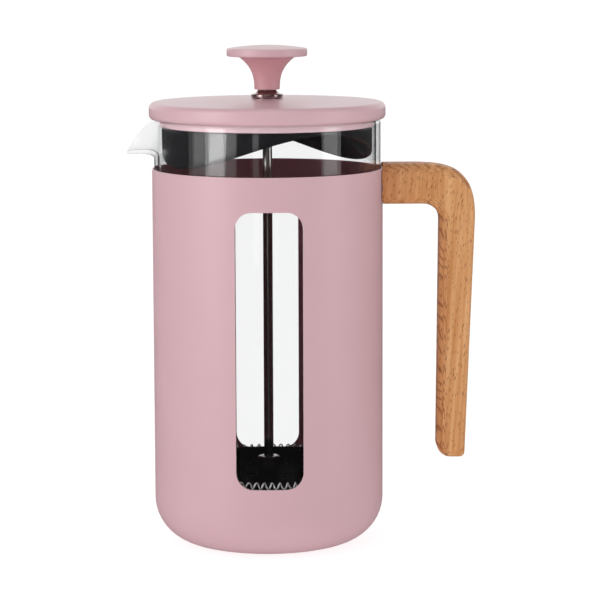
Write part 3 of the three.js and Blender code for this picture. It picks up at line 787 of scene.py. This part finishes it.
def make_cap():
    step_inside = STEP_RADIUS - CAP_SHELL
    under = rounded([
        (NECK_HOLE, CAP_CEILING, 0),
        (step_inside, CAP_CEILING, 1 * MM),
        (step_inside, STEP_FOOT, STEP_ROUND),
        (STEP_RADIUS, STEP_FOOT, STEP_ROUND),
        (STEP_RADIUS, CAP_FOOT, 0.3 * MM),
        (CAP_RADIUS, CAP_FOOT, 0),
    ], closed=False)[:-1]
    edge = arc(CAP_RADIUS - CAP_FOOT_ROUND, CAP_FOOT + CAP_FOOT_ROUND, CAP_FOOT_ROUND, -90, 0)
    top_edge_radius = CAP_RADIUS - CAP_TOP_ROUND
    edge += arc(top_edge_radius, CAP_EDGE_TOP - CAP_TOP_ROUND, CAP_TOP_ROUND, 0, 90, 10)
    top = crowned(top_edge_radius, CAP_EDGE_TOP, CAP_TOP, NECK_HOLE)[1:]
    cap = make_object("cap_cover", turned(under + edge + top, 192), lid_paint, step_painted_light)
    # The step below the cap's foot takes the painted light.
    for face in cap.data.polygons:
        if face.center.z < CAP_FOOT:
            face.material_index = 1
    stand_for(cap, "lid_cap", "lid")


def skirt_profile(azimuth):
    edge = SKIRT_MEAN_EDGE - SKIRT_WAVE * math.cos(2 * (azimuth - SKIRT_LOBE_AZIMUTH))
    inside = SKIRT_RADIUS - SKIRT_WALL
    disc_top = SKIRT_TOP + SKIRT_PLUG
    disc_bottom = disc_top - SKIRT_FLOOR
    boss_top = CAP_CEILING - TOUCH_GAP
    return rounded([
        (inside, edge, 1.1 * MM),
        (SKIRT_RADIUS, edge, 1.1 * MM),
        (SKIRT_RADIUS, SKIRT_TOP, 0.4 * MM),
        (SKIRT_PLUG_RADIUS, SKIRT_TOP, 0.3 * MM),
        (SKIRT_PLUG_RADIUS, disc_top, 0.4 * MM),
        (SKIRT_BOSS_RADIUS, disc_top, 0.5 * MM),
        (SKIRT_BOSS_RADIUS, boss_top, 0.4 * MM),
        (NECK_HOLE, boss_top, 0),
        (NECK_HOLE, disc_bottom, 0),
        (inside, disc_bottom, 1.5 * MM),
    ])


def make_skirt():
    skirt = make_object("wave_skirt", sweep(skirt_profile, even(192)), black_plastic)
    stand_for(skirt, "lid_skirt", "lid")


def make_bush():
    low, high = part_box("lid_bush")
    flange_radius = high.y
    foot = high.z - BUSH_BEVEL_HEIGHT - BUSH_FLANGE_HEIGHT
    ledge = foot + BUSH_FLANGE_HEIGHT
    profile = rounded([
        (ROD_HOLE, low.z, 0.2 * MM),
        (BUSH_NECK_RADIUS, low.z, 0.4 * MM),
        (BUSH_NECK_RADIUS, foot, 0),
        (flange_radius, foot, 0.35 * MM),
        (flange_radius, ledge, 0.45 * MM),
        (flange_radius - BUSH_BEVEL_INSET, ledge, 0.15 * MM),
        (ROD_HOLE + BUSH_NOSE_WALL, high.z, 0.2 * MM),
        (ROD_HOLE, high.z, 0.15 * MM),
    ])
    bush = make_object("lid_collar", turned(profile, 96), collar_steel)
    stand_for(bush, "lid_bush", "lid_guide")


def hex_nut(radius, bottom, top, bore, both_ends=False):
    """A hexagon whose corners are cut back by a cone at the top, and also below if asked."""
    cone_start, slope, blunted = radius * math.cos(math.pi / 6) * 0.97, 0.62, radius * 0.995

    def profile_at(azimuth):
        reach = min(hexagon(radius, azimuth), blunted)
        cut = (reach - cone_start) * slope
        low = [(cone_start, bottom), (reach, bottom + cut)] if both_ends else [(reach, bottom)]
        return [(bore, bottom), *low, (reach, top - cut), (cone_start, top), (bore, top)]

    return sweep(profile_at, even(96))


def make_lid_nut():
    low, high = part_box("lid_nut")
    nut = make_object("lid_nut_hexagon", hex_nut(high.y, low.z, high.z, NECK_HOLE, True), steel)
    stand_for(nut, "lid_nut", "lid_guide")


make_cap()
make_skirt()
make_bush()
make_lid_nut()


# ---- Knob, rod and filter ----

def make_knob():
    low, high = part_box("knob")
    radius = high.y
    disc_top = high.z - KNOB_CROWN
    disc_bottom = disc_top - KNOB_DISC_HEIGHT
    steps = 24
    flare = []
    for k in range(steps + 1):
        share = k / steps
        spread = (KNOB_FLARE_RADIUS - KNOB_STEM_RADIUS) * share ** KNOB_FLARE_POWER
        flare.append(Vector((KNOB_STEM_RADIUS + spread, low.z + (disc_bottom - low.z) * share)))
    flare[0] = Vector((KNOB_STEM_RADIUS - 0.25 * MM, low.z))
    flare.insert(1, Vector((KNOB_STEM_RADIUS, low.z + 0.25 * MM)))
    edge = radius - KNOB_EDGE_ROUND
    profile = [Vector((0, low.z + KNOB_BORE_DEPTH)), Vector((KNOB_BORE_RADIUS, low.z + KNOB_BORE_DEPTH)),
               Vector((KNOB_BORE_RADIUS, low.z))] + flare
    profile += arc(edge, disc_bottom + KNOB_UNDERSIDE_RISE + KNOB_EDGE_ROUND, KNOB_EDGE_ROUND, -90, 0, 6)
    profile += arc(edge, disc_top - KNOB_EDGE_ROUND, KNOB_EDGE_ROUND, 0, 90, 6)
    profile += crowned(edge, disc_top, high.z)[1:]
    knob = make_object("turned_knob", turned(profile, 128, closed=False), lid_paint, stem_paint)
    for face in knob.data.polygons:
        if face.center.z < disc_bottom:
            face.material_index = 1
    stand_for(knob, "knob", "plunger")


def make_rod():
    low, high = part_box("plunger_rod")
    radius = high.y
    profile = rounded([
        (0, low.z, 0), (radius, low.z, 0.5 * MM), (radius, high.z, 0.3 * MM), (0, high.z, 0),
    ], closed=False)
    rod = make_object("polished_rod", turned(profile, 48, closed=False), rod_steel)
    stand_for(rod, "plunger_rod", "plunger")


def make_filter_hub():
    low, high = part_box("filter_hub")
    hub = make_object("hub_nut_hexagon", hex_nut(high.x, low.z, high.z, ROD_HOLE), dark_steel)
    stand_for(hub, "filter_hub", "plunger")


def make_spiral_plate():
    low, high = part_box("spiral_plate")
    radius = high.y
    floor_top = low.z + PLATE_THICKNESS
    outlines = [[Vector((radius - PLATE_RIM_WALL / 2, 0)) @ Matrix.Rotation(-t, 2) for t in even(144)],
                [Vector((ROD_HOLE, 0)) @ Matrix.Rotation(-t, 2) for t in even(32)]]
    round_hole = [Vector((math.cos(t), math.sin(t))) * PLATE_HOLE_RADIUS for t in even(28)]
    for ring, count in PLATE_HOLE_ROWS:
        for azimuth in even(count):
            outlines.append([polar(ring, azimuth) + point for point in round_hole])
    plate = flat_plate("perforated_plate", outlines, low.z, floor_top, plate_steel)
    stand_for(plate, "spiral_plate", "plunger")
    rim = turned(rounded([
        (radius - PLATE_RIM_WALL, low.z, 0.1 * MM), (radius, low.z, 0.35 * MM),
        (radius, high.z, 0.3 * MM), (radius - PLATE_RIM_WALL, high.z, 0.3 * MM),
    ]), 144)
    turned_up = make_object("plate_turned_rim", rim, plate_steel)
    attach(turned_up, "plunger")


def make_edge_spring():
    """A wire coil bent into a ring, which wipes the glass."""
    low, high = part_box("edge_spring")
    coil = (high.z - low.z) / 2
    ring = high.y - coil
    middle = (high.z + low.z) / 2
    winding = coil - COIL_WIRE_RADIUS
    turns = round(TURN * ring / COIL_PITCH)
    per_turn = 16
    points = []
    for k in range(turns * per_turn):
        wind = TURN * k / per_turn
        azimuth = TURN * k / (turns * per_turn)
        radius = ring + winding * math.cos(wind)
        height = middle + winding * math.sin(wind)
        points.append((*polar(radius, azimuth), height))
    spring = from_curve("spring_coil", coil_steel, [points], dimensions="3D",
                        bevel_depth=COIL_WIRE_RADIUS, bevel_resolution=2)
    stand_for(spring, "edge_spring", "plunger")


def make_screen():
    """The fine mesh, held in a thin rolled hem."""
    low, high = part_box("filter_screen")
    radius = high.y
    middle = (low.z + high.z) / 2
    sheet = 0.2 * MM
    mesh = make_object("mesh_disc", turned(rounded([
        (ROD_HOLE, middle - sheet, 0), (radius - SCREEN_HEM, middle - sheet, 0),
        (radius - SCREEN_HEM, middle + sheet, 0), (ROD_HOLE, middle + sheet, 0),
    ]), 144), mesh_steel)
    stand_for(mesh, "filter_screen", "plunger")
    round_edge = (high.z - low.z) * 0.45
    hem = make_object("mesh_hem", turned(rounded([
        (radius - SCREEN_HEM, low.z, round_edge), (radius, low.z, round_edge),
        (radius, high.z, round_edge), (radius - SCREEN_HEM, high.z, round_edge),
    ]), 144), steel)
    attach(hem, "plunger")


def spoke_opening(azimuth, outside):
    """The rounded opening between two spokes of the cross plate."""
    half_spoke = CROSS_SPOKE_WIDTH / 2
    half_span = math.pi / CROSS_SPOKES
    inside = CROSS_HUB_RADIUS + CROSS_HUB_LEDGE
    outer_half = half_span - math.asin(half_spoke / outside)
    inner_half = half_span - math.asin(half_spoke / inside)
    steps = 14
    corners = []
    for k in range(steps + 1):
        angle = azimuth + outer_half * (1 - 2 * k / steps)
        corner = CROSS_CORNER if k in (0, steps) else 0
        corners.append((*polar(outside, angle), corner))
    for side in (-1, 1):
        corners.append((*polar(inside, azimuth + side * inner_half), CROSS_INNER_CORNER))
    return rounded(corners)


def make_cross_plate():
    low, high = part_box("cross_plate")
    radius = high.y
    bottom = high.z - PLATE_THICKNESS
    outlines = [circle(radius, 144)]
    for azimuth in even(CROSS_SPOKES):
        outlines.append(spoke_opening(azimuth + math.pi / CROSS_SPOKES, radius - CROSS_RING_WIDTH))
    outlines.append(circle(ROD_HOLE, 32))
    plate = flat_plate("cross_spokes", outlines, bottom, high.z, steel)
    stand_for(plate, "cross_plate", "plunger")
    hub = make_object("cross_hub", turned(rounded([
        (ROD_HOLE, low.z, 0.3 * MM), (CROSS_HUB_RADIUS, low.z, 1 * MM),
        (CROSS_HUB_RADIUS, bottom, 0.3 * MM), (ROD_HOLE, bottom, 0),
    ]), 72), steel)
    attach(hub, "plunger")


make_knob()
make_rod()
make_filter_hub()
make_spiral_plate()
make_edge_spring()
make_screen()
make_cross_plate()


# ---- Handle and its screws ----

handle_low, handle_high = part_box("handle")
HANDLE_BACK = handle_high.x
HANDLE_FRONT = HANDLE_BACK - GRIP_DEPTH
ARM_BOTTOM = handle_high.z - ARM_HEIGHT


def moved_in(before, corner, after, inset):
    """A corner of a clockwise outline after both of its sides have moved in."""
    first = (corner - before).normalized()
    second = (after - corner).normalized()
    into_first = Vector((first.y, -first.x))
    into_second = Vector((second.y, -second.x))
    return corner + (into_first + into_second) * inset / (1 + into_first.dot(into_second))


def steps_to(start, end, count):
    """Points from start up to, but without, end."""
    return [start.lerp(end, k / count) for k in range(count)]


def shoulder(inset, top, steps=24):
    """The round shoulder, a cubic curve moved in along its normals."""
    start = Vector((HANDLE_BACK - SHOULDER_WIDTH, top))
    end = Vector((HANDLE_BACK, top - SHOULDER_HEIGHT))
    pull_top = Vector((HANDLE_BACK - SHOULDER_WIDTH * SHOULDER_TOP_SHARE, top))
    pull_back = Vector((HANDLE_BACK, top - SHOULDER_HEIGHT * SHOULDER_BACK_SHARE))
    points = []
    for k in range(steps + 1):
        t = k / steps
        u = 1 - t
        here = start * u ** 3 + pull_top * 3 * u * u * t + pull_back * 3 * u * t * t + end * t ** 3
        along = (pull_top - start) * u * u + (pull_back - pull_top) * 2 * u * t + (end - pull_back) * t * t
        along.normalize()
        points.append(here + Vector((along.y, -along.x)) * inset)
    return points


def handle_sides(inset, y):
    """The handle's clockwise outline at one depth, moved in by the rounding of its edges.

    It comes as its outer side, from the sleeve to the foot's back, and the rest of the way round.
    """
    top, foot = handle_high.z, handle_low.z
    end_x = math.sqrt((SLEEVE_RADIUS + TOUCH_GAP) ** 2 - y * y)
    curve = shoulder(inset, top)
    back_start = Vector((HANDLE_BACK, top - SHOULDER_HEIGHT))
    back_foot = Vector((HANDLE_FOOT_BACK, foot))
    front_foot = Vector((HANDLE_FOOT_FRONT, foot))
    armpit = Vector((HANDLE_FRONT, ARM_BOTTOM))
    arm_end = Vector((0, ARM_BOTTOM))
    corners = [moved_in(back_start, back_foot, front_foot, inset),
               moved_in(back_foot, front_foot, armpit, inset),
               moved_in(front_foot, armpit, arm_end, inset)]
    least = 0.15 * MM
    radii = (
        max(FOOT_BACK_ROUND - inset, least), max(FOOT_FRONT_ROUND - inset, least), ARMPIT_ROUND + inset)
    corner_steps, grip_steps, arm_steps, top_steps, foot_steps = 10, 30, 8, 6, 3
    fillets = rounded(
        [(*curve[-1], 0)] + [(*corner, radius) for corner, radius in zip(corners, radii)]
        + [(end_x, ARM_BOTTOM + inset, 0)], closed=False, steps=corner_steps)
    size = corner_steps + 1
    back_corner, front_corner, armpit_corner = (fillets[1 + k * size:1 + (k + 1) * size] for k in range(3))
    top_end = Vector((end_x, top - inset))
    low_end = Vector((end_x, ARM_BOTTOM + inset))
    outer = (
        steps_to(top_end, curve[0], top_steps) + curve
        + steps_to(curve[-1], back_corner[0], grip_steps)[1:] + back_corner
    )
    inner = (
        steps_to(back_corner[-1], front_corner[0], foot_steps)[1:] + front_corner
        + steps_to(front_corner[-1], armpit_corner[0], grip_steps)[1:] + armpit_corner
        + steps_to(armpit_corner[-1], low_end, arm_steps)[1:]
        + steps_to(low_end, top_end, arm_steps)
    )
    return outer, inner


def close_band(bm, outer, inner):
    """Fills between the two sides of a bent band, always across the shorter diagonal."""
    i = j = 0
    while i < len(outer) - 1 or j < len(inner) - 1:
        if j == len(inner) - 1:
            along_outer = True
        elif i == len(outer) - 1:
            along_outer = False
        else:
            ahead_outer = (outer[i + 1].co - inner[j].co).length
            ahead_inner = (outer[i].co - inner[j + 1].co).length
            along_outer = ahead_outer < ahead_inner
        if along_outer:
            bm.faces.new((outer[i], outer[i + 1], inner[j]))
            i += 1
        else:
            bm.faces.new((outer[i], inner[j + 1], inner[j]))
            j += 1


def handle_levels():
    """(depth, inset) pairs from the rear face to the front one, round both edges."""
    half = handle_high.y
    core = half - HANDLE_EDGE
    edge_steps, core_steps = 9, 4
    angles = [math.radians(90 * k / edge_steps) for k in range(edge_steps + 1)]
    rear = [(core + HANDLE_EDGE * math.cos(t), HANDLE_EDGE * (1 - math.sin(t))) for t in angles]
    rear.insert(0, (half, HANDLE_EDGE + HANDLE_FLAT_INSET))
    middle = [(core * (1 - k / core_steps), 0.0) for k in range(1, 2 * core_steps)]
    return rear + middle + [(-y, inset) for y, inset in reversed(rear)]


def seat_cutters():
    """Bores for the inserts, with a cone at the mouth for each screw's seat."""
    bm = bmesh.new()
    for name in ("front", "rear"):
        low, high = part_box("handle_insert_" + name)
        y, z = (low.y + high.y) / 2, (low.z + high.z) / 2
        bore = (high.z - low.z) / 2 + TOUCH_GAP
        overshoot = 1 * MM
        mouth = SLEEVE_RADIUS - overshoot
        cone_end = SLEEVE_RADIUS + HANDLE_SEAT_DEPTH
        wide = SCREW_SEAT_RADIUS + HANDLE_SEAT_GAP
        profile = [(0, mouth), (wide + overshoot, mouth), (wide - HANDLE_SEAT_DEPTH, cone_end),
                   (bore, cone_end), (bore, high.x + TOUCH_GAP), (0, high.x + TOUCH_GAP)]
        single = lay_along_x(turned(profile, 40, closed=False), y, z)
        mesh = bpy.data.meshes.new("cutter")
        single.to_mesh(mesh)
        single.free()
        bm.from_mesh(mesh)
        bpy.data.meshes.remove(mesh)
    return make_object("seat_cutter", bm)


def make_handle():
    bm = bmesh.new()
    levels = []
    for y, inset in handle_levels():
        levels.append([[bm.verts.new((x, y, z)) for x, z in side] for side in handle_sides(inset, y)])
    rings = [outer + inner for outer, inner in levels]
    for here, there in zip(rings, rings[1:]):
        close_ring(bm, here, there)
    for outer, inner in (levels[0], levels[-1]):
        close_band(bm, outer, inner[::-1])
    bmesh.ops.recalc_face_normals(bm, faces=bm.faces)
    handle = make_object("beech_handle", bm, beech)
    cutter = seat_cutters()
    cut = handle.modifiers.new("seats", "BOOLEAN")
    cut.object = cutter
    cut.solver = "EXACT"
    bpy.context.view_layer.update()
    handle = applied(handle)
    bpy.data.objects.remove(cutter)
    handle.data.shade_smooth()
    handle.data.set_sharp_from_angle(angle=CREASE_ANGLE)
    for face in handle.data.polygons:
        face.use_smooth = abs(face.normal.y) < 0.9999
    stand_for(handle, "handle", "sleeve_body")


def screw_profile(azimuth, head_face, end):
    """A countersunk screw with a hexagon socket, along Z from its head's face."""
    socket_edge, head_edge, tip = 0.1 * MM, 0.15 * MM, 0.5 * MM
    socket = hexagon(SOCKET_RADIUS, azimuth)
    cone = SCREW_HEAD_RADIUS - SCREW_RADIUS
    return [
        (0, head_face + SOCKET_DEPTH), (socket, head_face + SOCKET_DEPTH),
        (socket, head_face + socket_edge), (socket + socket_edge, head_face),
        (SCREW_HEAD_RADIUS - head_edge, head_face), (SCREW_HEAD_RADIUS, head_face + head_edge),
        (SCREW_RADIUS, head_face + cone), (SCREW_RADIUS, end - tip), (SCREW_RADIUS - tip, end), (0, end),
    ]


def make_screws():
    for name in ("front", "rear"):
        low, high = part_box("handle_screw_" + name)
        y, z = (low.y + high.y) / 2, (low.z + high.z) / 2
        bm = sweep(lambda azimuth: screw_profile(azimuth, low.x, high.x), even(48), closed=False)
        screw = make_object("socket_screw_" + name, lay_along_x(bm, y, z), steel)
        stand_for(screw, "handle_screw_" + name, "sleeve_body")


make_handle()
make_screws()


# ---- Nodes that keep their CAD shape ----

KEPT = {
    "base_pad": silicone, "handle_insert_front": brass, "handle_insert_rear": brass,
    "lid_washer": steel, "knob_insert": brass,
}
for node_name, node_material in KEPT.items():
    node_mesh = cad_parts[node_name].data
    node_mesh.materials.clear()
    node_mesh.materials.append(node_material)


# ---- Floor, light and camera ----

STUDIO_LIGHT = 0.70  # what matt surfaces get from all round
DARK_STUDIO = 0.045  # what polished surfaces reflect in front of the object
BRIGHT_BACKDROP = 1.1  # and behind it
BACKDROP_START, BACKDROP_FULL = 0.4, 0.75  # how far a direction points to +Y where it starts and is full
FLOOR_RADIUS = 12
FLOOR_GLOW = 0.76
FLOOR_GAP = 0.02 * MM
CAMERA_PLACE = (-0.0116, -1.2079, 0.272)
CAMERA_PITCH, CAMERA_YAW, CAMERA_ROLL = (math.radians(angle) for angle in (90 - 7.738, -1.224, -0.195))
CAMERA_LENS = 164.2


def make_floor():
    """White to the eye, and dark where a polished surface reflects it."""
    bm = bmesh.new()
    bmesh.ops.create_circle(bm, cap_ends=True, segments=96, radius=FLOOR_RADIUS)
    made = Finish("studio_floor", (0.4, 0.4, 0.4), 1.0, Specular_IOR_Level=0.0,
                  Emission_Color=(1, 1, 1, 1), Emission_Strength=FLOOR_GLOW)
    dark = made.add("Emission", {"Color": (1, 1, 1, 1), "Strength": DARK_STUDIO})
    made.mix_over(made.bounced("Glossy"), dark)
    floor = make_object("studio_floor", bm, made.material)
    floor.location.z = cad_bounds[0][2] - FLOOR_GAP


def make_world():
    """White to the eye, even light for matt surfaces, and a bright backdrop in reflections."""
    world = bpy.data.worlds.new("studio")
    bpy.context.scene.world = world
    world.use_nodes = True
    nodes = Nodes(world.node_tree)
    direction = nodes.add("SeparateXYZ", {0: nodes.add("TexCoord").outputs["Generated"]})
    reflected = nodes.spread(direction.outputs["Y"], DARK_STUDIO, BRIGHT_BACKDROP,
                             BACKDROP_START, BACKDROP_FULL)
    lit = nodes.spread(nodes.bounced("Diffuse"), reflected, STUDIO_LIGHT)
    strength = nodes.spread(nodes.bounced("Glossy", "Diffuse"), 1.0, lit)
    background = nodes.tree.nodes["Background"]
    nodes.tree.links.new(strength, background.inputs["Strength"])
    background.inputs["Color"].default_value = (1, 1, 1, 1)


def softbox(name, azimuth, spread, radiance, bottom=0.01, top=1.0, distance=0.9, gloss=True, matt=False):
    """An upright lamp that stands azimuth degrees to the right of -Y and is spread degrees wide.

    It is seen in gloss and through glass, or it lights matt surfaces, or both.
    """
    lamp = bpy.data.lights.new(name, "AREA")
    lamp.shape = "RECTANGLE"
    lamp.size = 2 * distance * math.tan(math.radians(spread) / 2)
    lamp.size_y = top - bottom
    lamp.energy = radiance * math.pi * lamp.size * lamp.size_y
    made = in_scene(name, lamp)
    side = math.radians(azimuth)
    toward = Vector((math.sin(side), -math.cos(side), 0))
    made.location = toward * distance + Vector((0, 0, (top + bottom) / 2))
    made.rotation_euler = toward.to_track_quat("Z", "Y").to_euler()
    made.visible_camera = False
    made.visible_transmission = gloss
    made.visible_glossy = gloss
    made.visible_diffuse = matt


def make_camera():
    lens = bpy.data.cameras.new("camera")
    lens.lens = CAMERA_LENS
    lens.sensor_width = 36
    lens.clip_end = 50
    camera = in_scene("camera", lens)
    turn = (Matrix.Rotation(CAMERA_YAW, 4, "Z") @ Matrix.Rotation(CAMERA_PITCH, 4, "X")
            @ Matrix.Rotation(CAMERA_ROLL, 4, "Z"))
    camera.matrix_world = Matrix.Translation(CAMERA_PLACE) @ turn
    bpy.context.scene.camera = camera


make_floor()
make_world()
softbox("left_window", -54, 20, 2.7)
softbox("left_wings", -58.5, 53, 0.7)
softbox("right_strip", 67, 20, 1.7)
softbox("front_strip", -12, 6, 0.5)
softbox("high_front", 0, 60, 1.6, bottom=1.0, top=2.2)
softbox("left_fill", -66, 50, 0.9, gloss=False, matt=True)
softbox("front_fill", 0, 70, 0.25, gloss=False, matt=True)
softbox("right_fill", 95, 50, 0.25, gloss=False, matt=True)
make_camera()
bpy.context.scene.view_settings.view_transform = "Standard"

bpy.context.view_layer.update()
